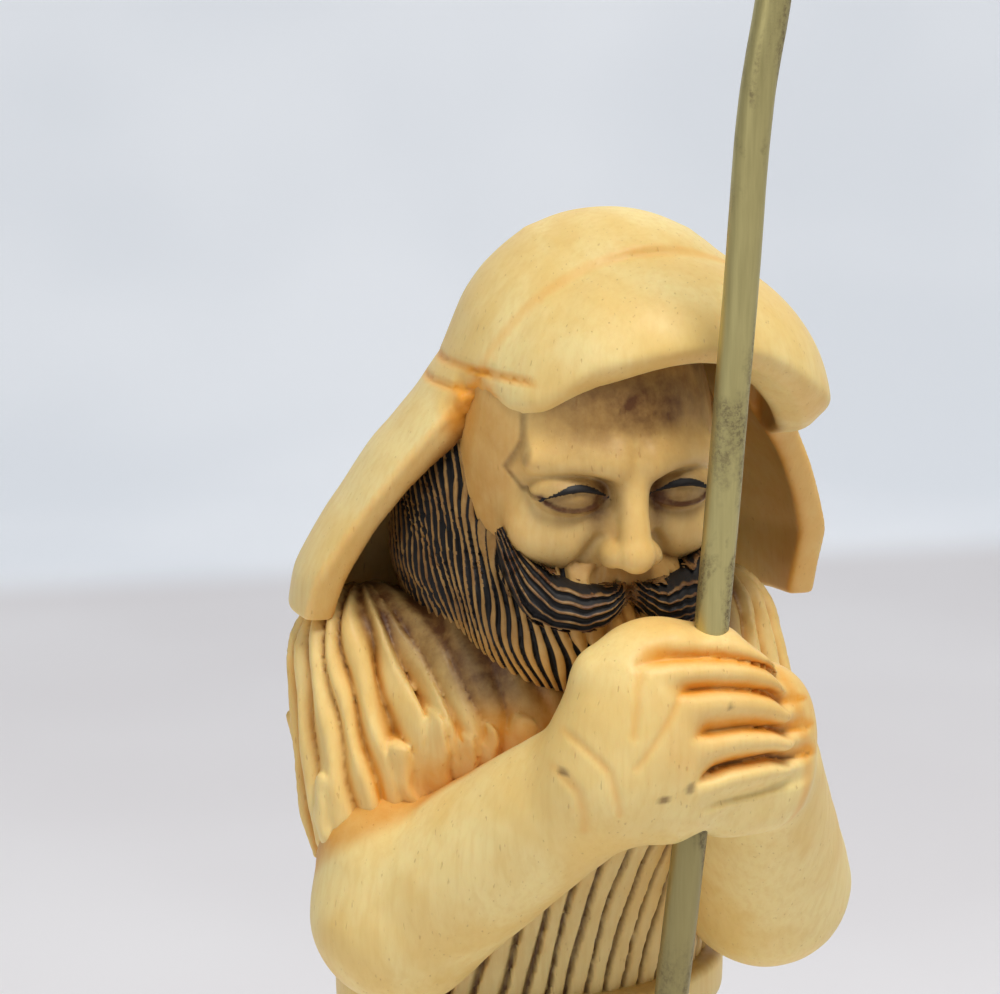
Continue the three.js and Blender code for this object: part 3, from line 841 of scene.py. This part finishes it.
def arms_marks(x, y, z):
    front = rise(-y, 33.6, 35.4)
    row, _ = finger(x, z)
    # The colour in the finger valleys is partly stain and partly painted shade under each finger.
    valley = finger_valley(x, z) * front * rise(5 - row, 0.0, 0.7)
    deep = 0.4 * rise(row, 2.3, 2.9) + 0.6 * rise(row, 3.3, 3.8)
    folds = sum(line(x, z, crease, 0.6) for crease in creases) * rise(-y, 30, 32)
    spots = sum(rise(1.5 - np.hypot((x - a) / w, (z - b) / h), 0, 1) for a, b, w, h in knots)
    spots = spots * rise(-y, 28, 30)
    # at_sleeve is painted shade where the forearms meet the sleeves.
    at_sleeve = rise(2.2 - tunic_form(x, y, z), 0, 2.2)
    fingertip = rise(1.2 - np.abs(x - curve(z, tip_heights, tip_places) - 0.6), 0, 1.2) * rise(-y, 32, 34)
    hand = rise(z, 101, 106) * rise(x + 8, 0, 6)
    warm = 0.75 * rise(valley, 0.08, 0.7) + 0.3 * folds + 0.22 * hand
    warm = warm + 0.7 * at_sleeve + 0.45 * fingertip
    brown = 0.75 * deep * rise(valley, 0.6, 0.95) + 0.65 * spots + 0.15 * at_sleeve
    return {"warm": np.clip(warm, 0, 1), "brown": np.clip(brown, 0, 1)}


# The tunic covers chest and upper arms in one mass. A gouge has cut it all round into ridges
# with a second row of tongues over the sleeves, and into stained grooves down to the belt.
trunk_heights = [66, 72, 77, 83, 90, 97, 104, 110, 114, 119]
trunk_widths = [19.4, 19.2, 19.3, 19.4, 19.6, 20.3, 21, 19.5, 16, 9]
trunk_depths = [15.6, 15.5, 15.6, 15.9, 16.6, 17.8, 18.5, 17, 13.5, 9]
trunk_middles = [0, 0, 0, -0.4, -1.5, -3, -4, -3, -4, -5]
shoulder_left = ((18.6, -2.5, 107), (19.2, -13, 83), 8.3, 8.8)
shoulder_right = ((-18.5, -1, 108), (-18.4, -7.5, 84), 8.5, 8.9)
chest_side = 18.5
chest_middle = 1.5
sleeve_reach = 9
ridge_pairs = 27
ridge_depth = 1.6
ridge_lean = 0.22
tongue_height = 103
tongue_rise = 0.45
torso_groove_count = 44
torso_groove_depth = 0.8
torso_lean = -0.1
sleeve_edge = 85
sleeve_slope = 0.8
tunic_foot = 72
tunic_top = 117


def below_sleeve(y, z):
    return (sleeve_edge - sleeve_slope * y - z) * 0.78


def tunic_form(x, y, z):
    wide = curve(z, trunk_heights, trunk_widths)
    deep = curve(z, trunk_heights, trunk_depths)
    middle = curve(z, trunk_heights, trunk_middles)
    share = np.sqrt((x / wide) ** 2 + ((y - middle) / deep) ** 2)
    trunk = (share - 1) * np.minimum(wide, deep)
    sleeves = np.minimum(rod(x, y, z, *shoulder_left), rod(x, y, z, *shoulder_right))
    chest = join(trunk - 0.5, sleeves, 3.0)
    chest = keep(chest, below_sleeve(y, z), 0.9)
    form = np.minimum(trunk, chest)
    return np.maximum(form, np.maximum(z - tunic_top, tunic_foot - z))


def round_chest(x, y):
    """The way round chest and sleeves from the middle of the front, in millimetres. It is
    straight across front and back, and turns round each sleeve's middle."""
    past = np.maximum(np.abs(x) - chest_side, 0)
    turned = chest_side + sleeve_reach * np.arctan2(past, -(y - chest_middle))
    behind = 2 * chest_side + np.pi * sleeve_reach - np.abs(x)
    straight = np.where(y < chest_middle, np.abs(x), behind)
    return np.sign(x) * np.where(past > 0, turned, straight)


def ridges(x, y, z):
    """How deep a place lies under the crests of the gouged ridges, in two rows: long ridges
    from the shoulders down, and here and there a tongue that starts lower and lies on them."""
    way = round_chest(x, y)
    pitch = (2 * chest_side + np.pi * sleeve_reach) / ridge_pairs
    leaning = np.sin(np.pi * np.clip(way / 44, -1, 1))
    place = (way - ridge_lean * (z - 100) * leaning) / pitch
    place = place + 0.4 * ripple(0.11 * way, 0.07 * z, 8) + 0.2 * ripple(0.4 * way, 0.2 * z, 9)
    number = np.floor(place)
    off = np.abs(place - number - 0.5) * 2
    start = 3.5 + 3 * (chance(number, 21) - 0.5) + 2 * off**2
    begun = 0.3 + 0.7 * rise(mane(x, y, z) - start, 0, 3)
    long_ridge = off**1.6 * (0.75 + 0.5 * chance(number, 10)) * begun - 0.2 * chance(number, 16)
    long_ridge = long_ridge + 0.5 * (1 - begun)
    place = place + 0.45 + 0.2 * ripple(0.25 * z, 0.16 * way, 11)
    number = np.floor(place)
    off = np.abs(place - number - 0.5) * 2
    top = tongue_height + 9 * (chance(number, 12) - 0.5) - 3.4 * off**2 - 60 * (chance(number, 17) > 0.6)
    tongue = off**1.6 * 0.9 - tongue_rise + 2.5 * rise(z - top, 0, 1.2)
    return np.minimum(long_ridge, tongue)


def torso_grooves(x, y, z):
    angle = np.arctan2(x, -y)
    place = angle * torso_groove_count / (2 * np.pi) + torso_lean * (z - 85)
    place = place + 0.2 * ripple(3 * angle, 0.03 * z, 18)
    number = np.floor(place)
    off = np.abs(place - number - 0.5) * 2
    return rise(0.3 + 0.12 * chance(number, 19) - off, 0, 0.26)


def tunic(x, y, z):
    upper = rise(-below_sleeve(y, z), -1.6, 0.2)
    sinking = 1.1 * rise(6 + below_sleeve(y, z), 0, 6)
    fluted = ridge_depth * ridges(x, y, z) + sinking
    form = tunic_form(x, y, z) + upper * fluted + (1 - upper) * torso_groove_depth * torso_grooves(x, y, z)
    return form + 0.12 * knife_work(x, y, z, 2.2, 13)


def tunic_marks(x, y, z):
    upper = rise(-below_sleeve(y, z), -1.6, 0.2)
    # The colour in the ridge valleys is partly stain and partly painted shade.
    valley = rise(ridges(x, y, z), 0.1, 0.8)
    near_arm = rise(7.5 - arms(x, y, z), 0, 7) * rise(14 - np.abs(x + 12), 0, 8)
    # near_hair is painted shade under the beard, and under_hood is painted shadow under the hood.
    near_hair = rise(8 - mane(x, y, z), 0, 6.5) * (1 - 0.7 * near_arm)
    under_hood = rise(6 - hood(x, y, z), 0, 5.5)
    cloud = 0.5 + 0.5 * knife_work(x, y, z, 3.4, 20)
    warm = upper * (0.06 + 0.75 * valley + 0.95 * near_arm * (0.3 + 0.5 * valley + 0.5 * cloud))
    brown = 0.4 * valley**2 * (1 - near_arm) + near_hair * (0.7 + 0.3 * valley)
    brown = upper * (brown + under_hood * (0.1 + 0.45 * valley))
    brown = brown + (1 - upper) * (0.75 * torso_grooves(x, y, z) + 0.13)
    return {"warm": np.clip(warm, 0, 1), "brown": np.clip(brown, 0, 0.95)}


carve("arms_and_hands", arms, (-29, -42, 71), (30, 3, 121), 0.37, arms_marks)
carve("tunic", tunic, (-30, -27, 71), (31, 19, 118), 0.42, tunic_marks)


# The skirt falls in soft folds from a knotted belt to the plinth, and the toes show under its
# hem. All of it is still the same block.
hem_half = (25, 22.5)
skirt_heights = [-2, 10, 40, 74]
skirt_widths = [25, 24.4, 22, 19.9]
skirt_depths = [22.5, 21.7, 19, 16.1]
fold_count = 15
fold_depth = 2.0
belt_middle = 72
belt_half = 2.5
belt_reach = (21.1, 17.3)
knot_place = (5, -16.1, belt_middle)


def skirt_fold(x, y, z):
    angle = np.arctan2(x, -y)
    return 0.5 - 0.5 * np.cos(fold_count * angle + 0.9 * ripple(1.5 * angle, 0.02 * z, 15))


def skirt(x, y, z):
    wide = curve(z, skirt_heights, skirt_widths)
    deep = curve(z, skirt_heights, skirt_depths)
    share = np.sqrt((x / wide) ** 2 + (y / deep) ** 2)
    form = (share - 1) * np.minimum(wide, deep) + skirt_fold(x, y, z) * fold_depth * rise(70 - z, 0, 55)
    form = np.maximum(form, np.maximum(z - 74, -1.2 - z))
    band = (np.hypot(x / belt_reach[0], y / belt_reach[1]) - 1) * belt_reach[1]
    belt = keep(band, np.abs(z - belt_middle) - belt_half, 1.2)
    knot = ellipsoid(x, y, z, knot_place, (2.5, 2.2, 2.4))
    for foot in (3.5, 7.5):
        knot = join(knot, rod(x, y, z, (5, -16.7, 71), (foot, -18.3, 59), 1.2, 1.5), 0.8)
    form = join(form, join(belt, knot, 0.6), 0.5)
    for side in (-1, 1):
        form = join(form, ellipsoid(x, y, z, (side * 8.5 + 1.5, -21.5, 0.5), (4.6, 5.8, 4.0)), 0.6)
    return form + 0.12 * knife_work(x, y, z, 5.0, 16)


def skirt_marks(x, y, z):
    fold = skirt_fold(x, y, z)
    edge = rise(1.2 - np.abs(np.abs(z - belt_middle) - belt_half), 0, 1.2)
    # Painted shade: brown and warm in the hollows of the folds, and brown along the foot of the skirt by the
    # plinth.
    brown = 0.3 * fold**3 * rise(70 - z, 0, 40) + 0.45 * edge + 0.4 * rise(1.5 - z, 0, 1.5)
    return {"brown": np.clip(brown, 0, 1), "warm": 0.3 * fold * rise(70 - z, 0, 30)}


carve("skirt", skirt, (-28, -29, -2), (28, 26, 76), 0.7, skirt_marks)


# The plinth is a low oval slab with a rounded edge, sawn from the same block as the figure.
plinth_half = (hem_half[0] + 6.5, hem_half[1] + 11.5)
plinth_bevel = 1.0


def plinth(x, y, z):
    side = (np.hypot(x / plinth_half[0], y / plinth_half[1]) - 1) * plinth_half[0]
    return keep(keep(side, z, plinth_bevel), -plinth_height / unit - z, plinth_bevel)


def plinth_marks(x, y, z):
    near_hem = np.hypot(x / hem_half[0], y / hem_half[1])
    # Painted shadow round the foot of the skirt on the plinth.
    return {"brown": 0.35 * rise(1.12 - near_hem, 0, 0.1) * rise(z, -1, 0), "warm": 0.1}


carve("plinth", plinth, (-33, -36, -8.5), (33, 36, 2), 0.8, plinth_marks)


# The staff is a length of bent brass rod, dulled and spotted with tarnish. It stands in a
# blind hole in the plinth, passes through both hands and ends in a shepherd's crook.
staff_radius = 1.65
staff_foot = (-7.6, -28.25, -2.7)
staff_stops = [(-0.3, -32.2, 81), (1.8, -33.6, 107), (2.8, -34.3, 123), (4.1, -35.5, 148), (4.9, -36.5, 166)]
neck_rise = 12
neck_lean = (0.13, -0.04, 1)
crook_radius = 7.5
crook_turn = 215
crook_step = 24


def smooth_path(stops, share):
    """Places along a curve through the stops, whose bends keep to the stops' spacing."""
    stops = np.array(stops, float)
    stops = np.vstack([2 * stops[0] - stops[1], stops, 2 * stops[-1] - stops[-2]])
    knots_at = np.concatenate([[0], np.cumsum(np.linalg.norm(np.diff(stops, axis=0), axis=1) ** 0.5)])
    place = knots_at[1] + share * (knots_at[-2] - knots_at[1])
    i = np.clip(np.searchsorted(knots_at, place, side="right") - 1, 1, len(stops) - 3)
    t = place[:, None]
    k = [knots_at[i + n][:, None] for n in (-1, 0, 1, 2)]
    p = [stops[i + n] for n in (-1, 0, 1, 2)]

    def between(a, b, low, high):
        return ((high - t) * a + (t - low) * b) / (high - low)

    first = [between(p[n], p[n + 1], k[n], k[n + 1]) for n in range(3)]
    second = [between(first[n], first[n + 1], k[n], k[n + 2]) for n in range(2)]
    return between(second[0], second[1], k[1], k[2])


def staff_metal():
    metal = Finish("staff_metal")
    places = metal.places()
    patches = metal.noise(metal.places((1, 1, 0.35)), 0.16, 4.0, 0.6, 0.8).rise(0.46, 0.6)
    specks = metal.noise(places, 1.9, 4.0, 0.75).rise(0.42, 0.62)
    scratches = metal.noise(metal.places((1, 1, 0.05)), 3.2, 3.0, 0.6)
    height = metal.node(
        "ShaderNodeVectorMath",
        {"operation": "DOT_PRODUCT"},
        {0: places, 1: (0, 0, 1)},
        "Value",
    )
    # Painted shade: the staff is made darker below the hands, where their shade falls on it.
    above_hand_shade = height.rise(104, 112)
    tone = metal.mix(scratches, colour(176, 164, 108), colour(206, 194, 134))
    tone = metal.mix((1 - above_hand_shade) * 0.5, tone, colour(104, 90, 58))
    tone = metal.mix(patches * (0.25 + 0.55 * specks), tone, colour(96, 80, 52))
    rough = 0.36 + 0.22 * patches * specks + 0.12 * scratches
    relief = scratches * 0.5 - patches * specks
    return metal.set(
        Base_Color=tone,
        Metallic=0.75 - 0.4 * patches * specks,
        Roughness=rough,
        Normal=metal.bump(relief, 0.02 * mm),
    )


bend = np.array(staff_stops[-1], float)
crook_start = bend + np.array(neck_lean) * neck_rise
crook = [
    crook_start + crook_radius * np.array([math.cos(math.radians(a)) - 1, 0, math.sin(math.radians(a))])
    for a in range(crook_step, crook_turn + 1, crook_step)
]
staff_rings = 420
staff_sides = 24
route = smooth_path([staff_foot, *staff_stops, crook_start, *crook], np.linspace(0, 1, staff_rings))
ahead = np.gradient(route, axis=0)
ahead /= np.linalg.norm(ahead, axis=1, keepdims=True)
across = np.cross(ahead, (0, 1, 0))
across /= np.linalg.norm(across, axis=1, keepdims=True)
front = np.cross(across, ahead)
turns = np.arange(staff_sides) * 2 * np.pi / staff_sides
ring = np.arange(staff_rings)[:, None]
dented = staff_radius * (1 - 0.012 * (1 + ripple(0.09 * ring, turns, 21)))
near_end = np.clip(1 - np.minimum(ring, staff_rings - 1 - ring) / 2.0, 0, 1)
end_taper = np.sqrt(np.clip(1 - near_end**2, 0.1, 1))
staff_points = (
    route[:, None]
    + (dented * end_taper)[:, :, None]
    * (np.cos(turns)[None, :, None] * across[:, None] + np.sin(turns)[None, :, None] * front[:, None])
).reshape(-1, 3)
staff_points = staff_points * unit + np.array([0, 0, plinth_height])
staff_faces = [
    (i * staff_sides + j, i * staff_sides + (j + 1) % staff_sides,
     (i + 1) * staff_sides + (j + 1) % staff_sides, (i + 1) * staff_sides + j)
    for i in range(staff_rings - 1) for j in range(staff_sides)
]
staff_faces.append(tuple(reversed(range(staff_sides))))
staff_faces.append(tuple(range((staff_rings - 1) * staff_sides, staff_rings * staff_sides)))
staff = put("brass_staff", staff_points.tolist(), staff_faces)
staff.data.shade_smooth()
staff.data.materials.append(staff_metal())
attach(staff, "root")
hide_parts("staff")
